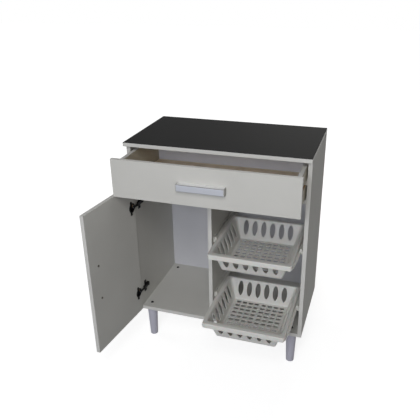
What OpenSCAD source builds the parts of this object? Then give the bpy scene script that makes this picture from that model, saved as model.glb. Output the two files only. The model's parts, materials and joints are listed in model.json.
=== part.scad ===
// Kitchen base cabinet: one wide drawer, one door and two pull-out baskets.
// Millimetres, Z up, the front faces -Y. The origin is on the floor, in the
// middle of the front left foot.

/* [Carcass] */
// Width of the top board
top_width = 700; // [660:1:760]
// Depth of the top board, front to back
top_depth = 390; // [385:1:430]
// Height of the side panels
side_height = 730; // [715:1:760]
// Thickness of every panel board
board = 15; // [15:0.5:16]
// Thickness of the dark laminate sheet on the top board
laminate = 0.8; // [0.6:0.1:1.2]
// How far the top board passes the left side panel
over_left = 5.5; // [0:0.5:8]
// How far the top board passes the right side panel
over_right = 0.5; // [0:0.5:8]
// Clear width of the bay behind the door
left_bay = 301; // [290:1:320]
// Thickness of the back sheet
back_sheet = 3; // [2.5:0.1:4]
// Depth of the two cross rails under the drawer
cross_rail_depth = 60; // [56:1:75]

/* [Legs] */
// Height of a leg
leg_height = 145; // [125:1:165]
// Diameter at the top of a leg
leg_top_d = 43; // [38:0.5:48]
// Diameter at the foot of a leg
leg_foot_d = 32; // [28:0.5:36]
// Leg axis from the outer face of the side panel
leg_inset_x = 44; // [40:1:55]
// Leg axis from the front and back of the carcass
leg_inset_y = 35; // [32:1:50]

/* [Drawer] */
// Height of the drawer front
drawer_front_height = 144; // [142:0.5:148]
// Height of the drawer box sides
drawer_side_height = 118; // [114:1:122]
// Length of the drawer box sides
drawer_length = 350; // [335:1:355]
// Gap between the drawer box and the carcass side
drawer_gap = 5; // [4:0.5:6]
// How far the drawer is pulled out
drawer_out = 121; // [0:1:200]
// Front overlap on the left side panel
lap_left = 8; // [7.5:0.1:8.5]
// Front overlap on the right side panel
lap_right = 4.5; // [4:0.5:8]
// How much further left the drawer front reaches than the door
front_left_more = 3.5; // [0:0.5:5]
// Gap between the drawer front and the top board
front_gap = 8; // [6:0.5:9]
// Gap between the drawer front and the door
reveal = 2; // [2:0.5:3.5]

/* [Door] */
// How far the door is open, in degrees
door_angle = 96.3; // [0:0.1:98]
// Overlap of the door on the partition
lap_partition = 6; // [5:0.5:7]
// Hinge centre line from the end of the door
hinge_inset = 93; // [80:1:120]

/* [Handles] */
// Length of a handle with its end caps
handle_length = 175; // [165:1:190]
// Height of the handle section
handle_height = 26; // [24:0.5:29]
// How far a handle stands out
handle_depth = 23; // [21:0.5:28]
// Distance between the two handle screws
handle_pitch = 136; // [96:1:140]
// Door handle line from the free edge of the door
handle_edge = 50; // [40:1:60]
// How far the drawer handle sits below the middle of its front
handle_drop = 0.5; // [0:0.5:8]

/* [Baskets] */
// Gap between the lower basket and the bay floor
basket_clear = 29; // [15:1:45]
// Height between the two basket rims
basket_pitch = 250; // [235:1:255]
// Front to back length of a basket
basket_length = 350; // [340:1:355]
// Height of a basket
basket_height = 88; // [80:1:95]
// How much each basket wall leans in from rim to floor
basket_taper = 29.5; // [27:0.5:32]
// How far the upper basket is pulled out
upper_out = 118; // [0:1:180]
// How far the lower basket is pulled out
lower_out = 193; // [0:1:215]
// How far a basket rail stands out from its panel
rail_reach = 15.5; // [14:0.5:16.5]

/* [Hidden] */
$fn = 48;
tiny = 0.05;
face_gap = 2;
fit = 0.1;

// Carcass planes
carcass_w = top_width - over_left - over_right;
half = carcass_w / 2;
in_half = half - board;
front_over = board + face_gap;
carcass_d = top_depth - front_over;
y_front = -carcass_d / 2;
y_back = carcass_d / 2;
y_side = y_back - back_sheet;
z_base = leg_height;
z_floor = z_base + board;
z_top = z_base + side_height;
z_total = z_top + board;
z_core = z_total - laminate;

// Drawer and door planes, closed
front_z1 = z_top - front_gap;
front_z0 = front_z1 - drawer_front_height;
box_z0 = front_z0 + (drawer_front_height - drawer_side_height) / 2 + 1;
box_z1 = box_z0 + drawer_side_height;
box_half = in_half - drawer_gap;
box_in = box_half - board;
y_panel = y_front - face_gap;
y_box_end = y_panel + drawer_length;
strip_z = (box_z0 + box_z1) / 2;
strip_h = 16;
groove_deep = 7.5;
strip_t = drawer_gap + groove_deep - 1;
strip_y0 = y_front + 3.5;
strip_y1 = y_side - 16.5;
strip_screw_in = 40;
sheet_z = box_z0 + 13;
sheet_t = 3;
sheet_in = 6;
rail_top = box_z0 - 4;
rail_low = rail_top - board;
part_x0 = -in_half + left_bay;
part_x1 = part_x0 + board;
bay_w = in_half - part_x1;
bay_mid = (part_x1 + in_half) / 2;
door_x0 = -in_half - lap_left;
door_x1 = part_x0 + lap_partition;
door_z0 = z_base + 1;
door_z1 = front_z0 - reveal;

// Hinge: pin place inside the hinge edge and inside the inner face
pin_in = 4.5;
pin_deep = 4.5;
pin_d = 2;
pin_x = door_x0 + pin_in;
pin_y = y_panel - pin_deep;
cup_d = 35;
cup_deep = 11.5;
cup_mid = 21;
cup_wall = 0.8;
lobe_in = 2.2;
lobe_half = 8;
arm_half = 5;
boss_r = 1.9;
sheet_arm = 1.6;
plate_back = 37;
plate_screw_up = 19;
plate_screw_d = 4;
arm_screw_back = 50;
cup_screw_in = 27;
cup_screw_up = 24;
hinge_z = [door_z0 + hinge_inset, door_z1 - hinge_inset];

// Joinery: cams, bolts, dowels, screws and nails
cam_d = 15;
cam_deep = 12;
cam_in = 24;
cam_shaft = 6;
cam_thread = 5;
cam_bite = 11;
dowel_d = 8;
dowel_bite = 12;
dowel_long = 30;
long_screw_d = 6.3;
long_screw = 50;
screw_d = 3.5;
nail_d = 1.8;
nail_long = 18;
leg_bolt_d = 8;
leg_bolt_long = 30;
cam_y = 95;
dowel_y = 140;
partition_screw_y = 110;
rail_cam = 38;
rail_dowel = 15;
strip_screws = spread(strip_y0, strip_y1, strip_screw_in);
drawer_dowel = 75;
drawer_screw_d = 4;
drawer_screw = 40;
back_screws = [35, 85];
handle_screw_d = 4;
nail_edge = 60;
nail_head_d = 4.4;
nail_head = 0.8;
leg_y = [y_front + leg_inset_y, y_back - leg_inset_y];
leg_x = [-half + leg_inset_x, half - leg_inset_x];

// Basket rail section
rail_h = 12;
rail_lip = 3.6;
rail_base = 2.5;
rail_groove = 7;
rail_screw_z = 11;
rail_flange = 16;
rail_front = y_front + 20;
rail_end = y_side - 5;
rail_screw_in = 32;
rail_screws = spread(rail_front, rail_end, rail_screw_in);
rail_screw = 10;
rim_low = z_floor + basket_clear + basket_height;
rim_high = rim_low + basket_pitch;
rims = [rim_low, rim_high];

// Basket details
basket_w = bay_w - 2 * (rail_reach - rail_groove + 1);
rim_t = 3;
rim_step = 14;
rim_bead = 9.5;
rim_side = 22.5;
lip = 22;
rim_back = 10;
skirt = 2.5;
front_skirt = 18.5;
basket_wall = 2.2;
basket_floor = 2.5;
leaf_h = 61;
leaf_w = 22;
leaf_arc = 74;
leaf_z = -37;
side_leaf_pitch = 39.5;

// Colours
white = [0.86, 0.86, 0.84];
dark = [0.14, 0.14, 0.14];
zinc = [0.68, 0.69, 0.70];
beech = [0.78, 0.66, 0.48];
lilac = [0.66, 0.65, 0.71];
bright = [0.80, 0.81, 0.84];
grey = [0.50, 0.50, 0.49];
black = [0.07, 0.07, 0.07];
plastic = [0.84, 0.86, 0.88];

// The sub-parts are drawn round the carcass's middle and moved so that the
// front left foot stands on the origin
module placed() translate([-leg_x[0], -leg_y[0], 0]) children();

// Three places between two ends
function spread(a, b, inset) = [a + inset, (a + b) / 2, b - inset];

// A block between two corners
module slab(x0, x1, y0, y1, z0, z1) {
    translate([x0, y0, z0]) cube([x1 - x0, y1 - y0, z1 - z0]);
}

// A round bar from a point along +X, -X, +Y, -Y, +Z or -Z
module bar(p, axis, d, len) {
    translate(p)
        rotate(axis == "x" ? [0, 90, 0] : axis == "-x" ? [0, -90, 0] : axis == "y" ? [-90, 0, 0]
            : axis == "-y" ? [90, 0, 0] : axis == "-z" ? [180, 0, 0] : [0, 0, 0])
        cylinder(d = d, h = len);
}

// A hole is a bar that starts a little outside its face
module hole(p, axis, d, len) {
    s = tiny;
    back = axis == "x" ? [-s, 0, 0] : axis == "-x" ? [s, 0, 0] : axis == "y" ? [0, -s, 0]
        : axis == "-y" ? [0, s, 0] : axis == "-z" ? [0, 0, s] : [0, 0, -s];
    bar(p + back, axis, d, len + s);
}

// Both sides alike, the right one drawn
module both_sides() {
    children();
    mirror([1, 0, 0]) children();
}

// Places where the carcass joints stand, drawn for the right end
module bottom_joint_places() {
    for (y = [-cam_y, cam_y]) translate([in_half, y, z_base + board / 2]) children();
}
module rail_joint_places(inset) {
    for (y = [y_front + inset, y_side - inset]) translate([in_half, y, rail_low + board / 2]) children();
}
module top_joint_places(y0) {
    for (y = [-y0, y0]) translate([half - board / 2, y, z_top]) children();
}

// One cam bolt along +X: the thread bites past the origin, the shaft reaches back to the cam
module cam_bolt() {
    bar([0, 0, 0], "x", cam_thread, cam_bite - 0.5);
    bar([0, 0, 0], "-x", cam_shaft, cam_in - 3);
    bar([-cam_in + 3, 0, 0], "-x", cam_shaft - 2, 3);
    bar([-cam_in, 0, 0], "-x", cam_shaft, 2);
}
module cam_bolt_bite() {
    hole([0, 0, 0], "x", cam_thread + fit, cam_bite);
}
module cam_bolt_way() {
    hole([0, 0, 0], "-x", cam_shaft + 1, cam_in);
}

// One cam, turned in a pocket that opens along -Z, with the bolt slot and a cross recess
module cam() {
    difference() {
        translate([-cam_in, 0, -board / 2]) cylinder(d = cam_d, h = cam_deep);
        translate([-cam_in - 4, -cam_shaft / 2 - 0.3, -cam_shaft / 2 - 0.3])
            cube([cam_d, cam_shaft + 0.6, cam_deep]);
        for (a = [0, 90]) translate([-cam_in, 0, -board / 2]) rotate([0, 0, a])
            cube([8, 1.5, 2], center = true);
    }
}
module cam_pocket() {
    translate([-cam_in, 0, -board / 2 - tiny]) cylinder(d = cam_d + 2 * fit, h = cam_deep + fit + tiny);
}

// One dowel along X, with its two holes
module dowel() {
    translate([dowel_bite, 0, 0]) bar([0, 0, 0], "-x", dowel_d, dowel_long);
}
module dowel_bite_hole() {
    hole([0, 0, 0], "x", dowel_d + fit, dowel_bite + 0.5);
}
module dowel_way() {
    hole([0, 0, 0], "-x", dowel_d + fit, dowel_long - dowel_bite + 0.5);
}

// A screw along +X with a flush cone head at the origin
module flush_screw(d, len) {
    rotate([0, 90, 0]) cylinder(d1 = 2 * d, d2 = d, h = d / 2);
    bar([0, 0, 0], "x", d, len);
}
module flush_screw_way(d, len) {
    rotate([0, 90, 0]) cylinder(d1 = 2 * d + fit, d2 = d + fit, h = d / 2);
    hole([0, 0, 0], "x", d + fit, len);
}

// A screw along +X with a pan head behind the origin and a cross recess
module pan_screw(d, len) {
    difference() {
        union() {
            bar([0, 0, 0], "-x", 2 * d, 0.6 * d);
            bar([0, 0, 0], "x", d, len);
        }
        translate([-0.6 * d, 0, 0]) for (a = [0, 90]) rotate([a, 0, 0])
            cube([0.6 * d, 1.1 * d, 0.25 * d], center = true);
    }
}

// Places of the joints seen from each board
module to_top() rotate([0, 0, 180]) rotate([0, -90, 0]) children();
module side_joint_holes() {
    bottom_joint_places() cam_bolt_bite();
    for (y = [-dowel_y, dowel_y, 0]) translate([in_half, y, z_base + board / 2]) dowel_bite_hole();
    rail_joint_places(rail_cam) cam_bolt_bite();
    rail_joint_places(rail_dowel) dowel_bite_hole();
    top_joint_places(cam_y) to_top() { cam_bolt_way(); cam_pocket(); }
    top_joint_places(dowel_y) to_top() dowel_way();
    for (y = strip_screws) translate([in_half - strip_t, y, strip_z]) flush_screw_way(screw_d, strip_t + 10);
    for (p = side_nails()) translate([half - board / 2, y_back, p]) nail_way();
}

// Back sheet nails
function side_nails() = [for (k = [0:3]) z_base + nail_edge + k * (side_height - 2 * nail_edge) / 3];
function sheet_nails() = [
    for (s = [-0.6, 0.18, 0.6]) [s * in_half, z_base + board / 2],
    for (s = [-0.45, 0.45]) [s * in_half, rail_low + board / 2],
    for (s = [0.25, 0.7]) [part_x0 + board / 2, z_floor + s * (rail_low - z_floor)]];
module nail() {
    bar([0, 0, 0], "-y", nail_head_d, nail_head);
    bar([0, 0, 0], "-y", nail_d, nail_long);
}
module nail_way() {
    hole([0, 0, 0], "-y", nail_head_d + fit, nail_head);
    hole([0, 0, 0], "-y", nail_d + fit, nail_long + 0.5);
}
module middle_nail_ways() {
    for (p = sheet_nails()) translate([p[0], y_back, p[1]]) nail_way();
}

// Carcass boards
module top_board() color(white) placed() difference() {
    slab(-half - over_left, half + over_right, y_front - front_over, y_back, z_top, z_core);
    both_sides() {
        top_joint_places(cam_y) to_top() cam_bolt_bite();
        top_joint_places(dowel_y) to_top() dowel_bite_hole();
    }
}

module top_laminate() color(dark) placed()
    slab(-half - over_left, half + over_right, y_front - front_over, y_back, z_core, z_total);

module side_blank() difference() {
    slab(in_half, half, y_front, y_side, z_base, z_top);
    side_joint_holes();
}

module side_left() color(white) placed() difference() {
    mirror([1, 0, 0]) side_blank();
    for (z = hinge_z, s = [-1, 1])
        hole([-in_half, y_front + plate_back, z + s * plate_screw_up], "-x", plate_screw_d + fit, board - 2.5);
}

module side_right() color(white) placed() difference() {
    side_blank();
    for (z = rims, y = rail_screws)
        hole([in_half, y, rail_mid(z) + rail_screw_z], "x", screw_d + fit, rail_screw + 1);
}

module bottom_panel() color(white) placed() difference() {
    slab(-in_half, in_half, y_front, y_side, z_base, z_floor);
    both_sides() {
        bottom_joint_places() { cam_bolt_way(); cam_pocket(); }
        for (y = [-dowel_y, dowel_y, 0]) translate([in_half, y, z_base + board / 2]) dowel_way();
    }
    for (x = leg_x, y = leg_y) hole([x, y, z_base], "z", leg_bolt_d + fit, board + 1);
    partition_screws_low() flush_screw_way(long_screw_d, board + 1);
    middle_nail_ways();
}

module partition_screws_low() {
    for (y = [-partition_screw_y, partition_screw_y]) translate([part_x0 + board / 2, y, z_base]) rotate([0, -90, 0]) children();
}
module partition_screws_high() {
    for (y = [y_front + cross_rail_depth / 2, y_side - cross_rail_depth / 2])
        translate([part_x0 + board / 2, y, rail_top]) rotate([0, 90, 0]) children();
}

module partition() color(white) placed() difference() {
    slab(part_x0, part_x1, y_front, y_side, z_floor, rail_low);
    partition_screws_low() bar([0, 0, 0], "x", long_screw_d + fit, long_screw + 1);
    partition_screws_high() bar([0, 0, 0], "x", long_screw_d + fit, long_screw + 1);
    middle_nail_ways();
    for (z = rims, y = rail_screws)
        hole([part_x1, y, rail_mid(z) + rail_screw_z], "-x", screw_d + fit, rail_screw + 1);
}

module cross_rail(y0) difference() {
    slab(-in_half, in_half, y0, y0 + cross_rail_depth, rail_low, rail_top);
    both_sides() {
        rail_joint_places(rail_cam) { cam_bolt_way(); cam_pocket(); }
        rail_joint_places(rail_dowel) dowel_way();
    }
    partition_screws_high() flush_screw_way(long_screw_d, board + 1);
    middle_nail_ways();
}
module front_rail() color(white) placed() cross_rail(y_front);
module back_rail() color(white) placed() cross_rail(y_side - cross_rail_depth);

module back_panel() color(white) placed() difference() {
    slab(-half, half, y_side, y_back, z_base, z_top);
    both_sides() for (p = side_nails()) translate([half - board / 2, y_back, p]) nail_way();
    middle_nail_ways();
}

// Carcass joinery
module cam_locks() color(zinc) placed() both_sides() {
    bottom_joint_places() cam();
    rail_joint_places(rail_cam) cam();
    top_joint_places(cam_y) to_top() cam();
}
module cam_bolts() color(zinc) placed() both_sides() {
    bottom_joint_places() cam_bolt();
    rail_joint_places(rail_cam) cam_bolt();
    top_joint_places(cam_y) to_top() cam_bolt();
}
module dowels() color(beech) placed() both_sides() {
    for (y = [-dowel_y, dowel_y, 0]) translate([in_half, y, z_base + board / 2]) dowel();
    rail_joint_places(rail_dowel) dowel();
    top_joint_places(dowel_y) to_top() dowel();
}
module panel_screws() color(zinc) placed() {
    partition_screws_low() flush_screw(long_screw_d, long_screw);
    partition_screws_high() flush_screw(long_screw_d, long_screw);
}
module back_nails() color(zinc) placed() {
    both_sides() for (p = side_nails()) translate([half - board / 2, y_back, p]) nail();
    for (p = sheet_nails()) translate([p[0], y_back, p[1]]) nail();
}

// Legs: a cone with a rounded foot and a bolt from above
module leg(x, y) color(lilac) placed() {
    r = leg_foot_d / 2;
    e = 4;
    translate([x, y, 0]) difference() {
        union() {
            cylinder(d = leg_foot_d - 2 * e, h = e);
            rotate_extrude() translate([r - e, e]) intersection() {
                circle(r = e);
                translate([0, -e]) square(e);
            }
            translate([0, 0, e]) cylinder(d1 = leg_foot_d, d2 = leg_top_d, h = leg_height - e);
        }
        translate([0, 0, leg_height - leg_bolt_long - 1])
            cylinder(d = leg_bolt_d + fit, h = leg_bolt_long + 2);
    }
}
module leg_front_left() leg(leg_x[0], leg_y[0]);
module leg_front_right() leg(leg_x[1], leg_y[0]);
module leg_back_left() leg(leg_x[0], leg_y[1]);
module leg_back_right() leg(leg_x[1], leg_y[1]);
module leg_bolts() color(grey) placed() for (x = leg_x, y = leg_y) translate([x, y, z_floor]) {
    bar([0, 0, 0], "-z", leg_bolt_d, board + leg_bolt_long);
    difference() {
        cylinder(d1 = 13, d2 = 10, h = 2.5);
        translate([0, 0, 1]) cylinder(d = 4.6, h = 2, $fn = 6);
    }
}

// Drawer runner strips, screwed to the side panels
module strip() difference() {
    slab(in_half - strip_t, in_half, strip_y0, strip_y1, strip_z - strip_h / 2, strip_z + strip_h / 2);
    for (y = strip_screws) translate([in_half - strip_t, y, strip_z]) flush_screw_way(screw_d, strip_t + 10);
}
module runner_strip_right() color(plastic) placed() strip();
module runner_strip_left() color(plastic) placed() mirror([1, 0, 0]) strip();
module runner_screws() color(zinc) placed() both_sides()
    for (y = strip_screws) translate([in_half - strip_t, y, strip_z]) flush_screw(screw_d, strip_t + 9);

// Basket rails: a base, two lips round a groove, and a nib at the front end
function rail_mid(rim) = rim - rim_step - rim_t / 2;
module rail(rim) {
    z = rail_mid(rim);
    reach = rail_reach;
    difference() {
        union() {
            slab(0, rail_base, rail_front, rail_end, z - rail_h / 2, z + rail_flange);
            slab(0, reach, rail_front, rail_end, z - rail_h / 2, z - rail_h / 2 + rail_lip);
            slab(0, reach, rail_front, rail_end, z + rail_h / 2 - rail_lip, z + rail_h / 2);
            slab(0, reach - rail_groove, rail_front, rail_end, z - rail_h / 2, z + rail_h / 2);
            slab(rail_base + 2, reach - 2, rail_front, rail_front + 7, z + rail_h / 2 - 1, z + rail_flange);
        }
        slab(reach - rail_groove, reach + 1, rail_front - 1, rail_end + 1,
            z - rail_h / 2 + rail_lip, z + rail_h / 2 - rail_lip);
        for (y = rail_screws) hole([0, y, z + rail_screw_z], "x", screw_d + fit, rail_base + 1);
    }
}
module left_rail(rim) color(plastic) placed() translate([part_x1, 0, 0]) rail(rim);
module right_rail(rim) color(plastic) placed() translate([in_half, 0, 0]) mirror([1, 0, 0]) rail(rim);
module basket_rail_upper_left() left_rail(rim_high);
module basket_rail_upper_right() right_rail(rim_high);
module basket_rail_lower_left() left_rail(rim_low);
module basket_rail_lower_right() right_rail(rim_low);
module rail_screws() color(zinc) placed()
    for (rim = rims, y = rail_screws) {
        translate([part_x1 + rail_base, y, rail_mid(rim) + rail_screw_z]) mirror([1, 0, 0])
            pan_screw(screw_d, rail_base + rail_screw);
        translate([in_half - rail_base, y, rail_mid(rim) + rail_screw_z]) pan_screw(screw_d, rail_base + rail_screw);
    }

// Hinge side fixed to the carcass, drawn round the side's inner face and front edge
module at_hinge(z) translate([-in_half, y_front, z]) children();
module hinge_plate(z) color(black) placed() at_hinge(z) difference() {
    union() {
        slab(0, 2, 18, 62, -7, 7);
        slab(0, 2, plate_back - 8, plate_back + 8, -26, 26);
        slab(2, 7, 20, 60, -4.4, 4.4);
    }
    for (s = [-1, 1]) hole([0, plate_back, plate_screw_up * s], "x", plate_screw_d + fit, 3);
    bar([2, arm_screw_back, 0], "x", 5 + fit, 6);
}
module stroke(a, b, t) {
    d = b - a;
    translate(a) rotate(atan2(d[1], d[0])) translate([0, -t / 2]) square([norm(d), t]);
    translate(a) circle(d = t);
    translate(b) circle(d = t);
}
module hinge_arm(z) color(black) placed() at_hinge(z) {
    difference() {
        slab(2.2, 9, 14, 62, -6, 6);
        slab(2.1, 7.2, 13, 63, -4.6, 4.6);
        hole([7.2, arm_screw_back, 0], "x", 5 + fit, 3);
    }
    pin = [pin_x + in_half, pin_y - y_front];
    difference() {
        translate([0, 0, -arm_half]) linear_extrude(2 * arm_half) {
            stroke([8.1, 16], [4, 4], sheet_arm);
            stroke([4, 4], [4, pin[1]], sheet_arm);
            stroke([4, pin[1]], pin, sheet_arm);
            translate(pin) circle(r = boss_r);
        }
        translate([pin[0], pin[1], -arm_half - 1]) cylinder(d = pin_d + fit, h = 2 * arm_half + 2);
    }
}
module hinge_plate_upper() hinge_plate(hinge_z[1]);
module hinge_plate_lower() hinge_plate(hinge_z[0]);
module hinge_arm_upper() hinge_arm(hinge_z[1]);
module hinge_arm_lower() hinge_arm(hinge_z[0]);
module hinge_screws() color(grey) placed() for (z = hinge_z) at_hinge(z) {
    for (s = [-1, 1]) translate([2, plate_back, plate_screw_up * s]) mirror([1, 0, 0])
        pan_screw(plate_screw_d, board - 1);
    translate([9, arm_screw_back, 0]) mirror([1, 0, 0]) pan_screw(5, 6);
}

// The drawer is drawn closed, then pulled out
module in_drawer() translate([0, -drawer_out, 0]) children();
front_x0 = -in_half - lap_left - front_left_more;
drawer_mid = (front_x0 + in_half + lap_right) / 2;
handle_z = (front_z0 + front_z1) / 2 - handle_drop;
drawer_cam_z = [box_z0 + 31, box_z1 - 28];
module drawer_joint(z) translate([box_half - board / 2, y_panel, z]) rotate([0, 0, -90]) children();

// The sheet's groove in the sides and the front
module sheet_groove() slab(-box_in - sheet_in - 0.2, box_in + sheet_in + 0.2, y_panel - sheet_in - 0.2,
    y_box_end + 1, sheet_z - fit, sheet_z + sheet_t + fit);

module drawer_front() color(white) placed() in_drawer() difference() {
    slab(front_x0, in_half + lap_right, y_panel - board, y_panel, front_z0, front_z1);
    sheet_groove();
    both_sides() {
        for (z = drawer_cam_z) drawer_joint(z) cam_bolt_bite();
        drawer_joint(box_z0 + drawer_dowel) dowel_bite_hole();
    }
    for (s = [-1, 1]) hole([drawer_mid + s * handle_pitch / 2, y_panel, handle_z],
        "-y", handle_screw_d + fit, board + 1);
}
module drawer_side() difference() {
    slab(box_in, box_half, y_panel, y_box_end, box_z0, box_z1);
    slab(box_half - groove_deep, box_half + 1, y_panel - 1, y_box_end + 1,
        strip_z - strip_h / 2 - 0.5, strip_z + strip_h / 2 + 0.5);
    sheet_groove();
    for (z = drawer_cam_z) drawer_joint(z) { cam_bolt_way(); drawer_cam_turn() cam_pocket(); }
    drawer_joint(box_z0 + drawer_dowel) dowel_way();
    back_screw_places() flush_screw_way(drawer_screw_d, board + 1);
}

// In the drawer the bolt runs along Y and the cam opens to the inside
module drawer_cam_turn() rotate([-90, 0, 0]) children();
module back_screw_places()
    for (z = back_screws) translate([box_half, y_box_end - board / 2, box_z0 + z]) mirror([1, 0, 0]) children();

module drawer_side_right() color(white) placed() in_drawer() drawer_side();
module drawer_side_left() color(white) placed() in_drawer() mirror([1, 0, 0]) drawer_side();
module drawer_back() color(white) placed() in_drawer() difference() {
    slab(-box_in, box_in, y_box_end - board, y_box_end, sheet_z + sheet_t + fit, box_z1 - 5);
    both_sides() back_screw_places() bar([0, 0, 0], "x", drawer_screw_d + fit, drawer_screw + 1);
}
module drawer_bottom() color(beech) placed() in_drawer()
    slab(-box_in - sheet_in, box_in + sheet_in, y_panel - sheet_in, y_box_end, sheet_z, sheet_z + sheet_t);
module drawer_cam_locks() color(zinc) placed() in_drawer() both_sides()
    for (z = drawer_cam_z) drawer_joint(z) drawer_cam_turn() cam();
module drawer_cam_bolts() color(zinc) placed() in_drawer() both_sides()
    for (z = drawer_cam_z) drawer_joint(z) cam_bolt();
module drawer_dowels() color(beech) placed() in_drawer() both_sides() drawer_joint(box_z0 + drawer_dowel) dowel();
module drawer_screws() color(zinc) placed() in_drawer() both_sides() back_screw_places() flush_screw(drawer_screw_d, drawer_screw);

// Handle section: depth along -X, height along Y, open below, front corners rounded
module handle_outline() {
    r = 4;
    h = handle_height / 2;
    translate([-handle_depth + r, -h]) square([handle_depth - r, 2 * h]);
    translate([-handle_depth, -h + r]) square([r, 2 * h - 2 * r]);
    for (s = [-1, 1]) translate([-handle_depth + r, s * (h - r)]) circle(r = r);
}
module handle_section() difference() {
    handle_outline();
    translate([-handle_depth + 2.5, -handle_height]) square([handle_depth - 5.5, 1.5 * handle_height - 2.5]);
}

// A handle lies along X and stands out along -Y; it is centred on its screws
cap_t = 3;
module along_handle(x0, len) translate([x0, 0, 0]) rotate([90, 0, 90]) linear_extrude(len) children();
module handle() difference() {
    along_handle(-handle_length / 2 + cap_t, handle_length - 2 * cap_t) handle_section();
    for (s = [-1, 1]) hole([s * handle_pitch / 2, 0, 0], "-y", handle_screw_d + fit, 4);
}
module handle_caps() for (x = [-handle_length / 2, handle_length / 2 - cap_t])
    along_handle(x, cap_t) handle_outline();
module handle_screws() for (s = [-1, 1]) translate([s * handle_pitch / 2, board, 0]) rotate([0, 0, -90])
    pan_screw(handle_screw_d, board + 5);
module on_drawer() in_drawer() translate([drawer_mid, y_panel - board, handle_z]) children();
module drawer_handle() color(bright) placed() on_drawer() handle();
module drawer_handle_caps() color(grey) placed() on_drawer() handle_caps();
module drawer_handle_screws() color(zinc) placed() on_drawer() handle_screws();

// The door is drawn closed, then swung round the hinge pin
module in_door() translate([pin_x, pin_y, 0]) rotate([0, 0, -door_angle]) translate([-pin_x, -pin_y, 0]) children();
module on_door() in_door()
    translate([door_x1 - handle_edge, y_panel - board, (door_z0 + door_z1) / 2]) rotate([0, -90, 0]) children();

// The hinge pocket in the door: a round cup with a square lobe round the pin
module at_cup(z) translate([door_x0, y_panel, z]) rotate([90, 0, 0]) children();
module cup_blank(grow, deep) {
    translate([cup_mid, 0, 0]) cylinder(d = cup_d + 2 * grow, h = deep);
    translate([lobe_in - grow, -lobe_half - grow, 0]) cube([cup_mid - lobe_in, 2 * (lobe_half + grow), deep]);
}
module door_panel() color(white) placed() in_door() difference() {
    slab(door_x0, door_x1, y_panel - board, y_panel, door_z0, door_z1);
    for (z = hinge_z) {
        at_cup(z) translate([0, 0, -tiny]) cup_blank(fit, cup_deep + fit + tiny);
        for (s = [-1, 1]) hole([door_x0 + cup_screw_in, y_panel, z + cup_screw_up * s], "-y", screw_d + fit, 12);
    }
    for (s = [-1, 1]) hole([door_x1 - handle_edge, y_panel, (door_z0 + door_z1) / 2 + s * handle_pitch / 2],
        "-y", handle_screw_d + fit, board + 1);
}
module hinge_cup(z) color(black) placed() in_door() at_cup(z) difference() {
    union() {
        cup_blank(0, cup_deep);
        translate([0, 0, -1.2]) linear_extrude(1.2) {
            translate([cup_mid, 0]) circle(r = cup_d / 2 + 2);
            translate([lobe_in, -lobe_half - 1.5]) square([cup_mid - lobe_in, 2 * lobe_half + 3]);
            translate([cup_screw_in - 6, -cup_screw_up]) square([12, 2 * cup_screw_up]);
            for (s = [-1, 1]) translate([cup_screw_in, cup_screw_up * s]) circle(r = 6);
        }
    }
    translate([0, 0, -2]) {
        translate([lobe_in - 10, -cup_d, 0]) cube([10, 2 * cup_d, 2]);
        translate([cup_mid, 0, 0]) cylinder(d = cup_d - 2 * cup_wall, h = cup_deep - cup_wall + 2);
        translate([lobe_in + cup_wall, -lobe_half + cup_wall, 0])
            cube([cup_mid, 2 * (lobe_half - cup_wall), cup_deep - cup_wall + 2]);
        translate([lobe_in - 0.3, -arm_half - 0.6, 0]) cube([4, 2 * arm_half + 1.2, cup_deep - cup_wall + 2]);
        for (s = [-1, 1]) translate([cup_screw_in, cup_screw_up * s, 0]) cylinder(d = screw_d + fit, h = 4);
    }
    translate([pin_in, -lobe_half - 1, pin_deep]) rotate([-90, 0, 0]) cylinder(d = pin_d + 0.04, h = 2 * lobe_half + 2);
}
module hinge_cup_upper() hinge_cup(hinge_z[1]);
module hinge_cup_lower() hinge_cup(hinge_z[0]);
module hinge_pins() color(zinc) placed() in_door() for (z = hinge_z)
    translate([pin_x, pin_y, z - lobe_half]) cylinder(d = pin_d, h = 2 * lobe_half);
module cup_screws() color(grey) placed() in_door() for (z = hinge_z, s = [-1, 1])
    translate([door_x0 + cup_screw_in, y_panel + 1.2, z + cup_screw_up * s]) rotate([0, 0, -90]) pan_screw(screw_d, 12);
module door_handle() color(bright) placed() on_door() handle();
module door_handle_caps() color(grey) placed() on_door() handle_caps();
module door_handle_screws() color(zinc) placed() on_door() handle_screws();

// Basket: a tapered tray cut by leaf slots and floor slots. Its rim is a flat bead with a skirt turned down,
// and low on each side of the skirt stands the flange that runs in the rails
basket_in = basket_w / 2 - rim_side;
basket_y1 = basket_length - rim_back;
module frustum(grow, deep) {
    lean = basket_taper * deep / basket_height;
    a = basket_in + grow;
    y0 = lip - grow;
    y1 = basket_y1 + grow;
    intersection() {
        translate([0, basket_length + 1, 0]) rotate([90, 0, 0]) linear_extrude(basket_length + 2)
            polygon([[-a, 0], [a, 0], [a - lean, -deep], [-a + lean, -deep]]);
        translate([-basket_w, 0, 0]) rotate([90, 0, 90]) linear_extrude(2 * basket_w)
            polygon([[y0, 0], [y1, 0], [y1 - lean, -deep], [y0 + lean, -deep]]);
    }
}
module leaf() {
    r = (leaf_arc * leaf_arc + leaf_w * leaf_w) / 4 / leaf_w;
    intersection() {
        translate([leaf_w / 2 - r, 0]) circle(r = r);
        translate([r - leaf_w / 2, 0]) circle(r = r);
        square([2 * leaf_w, leaf_h], center = true);
    }
}
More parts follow.
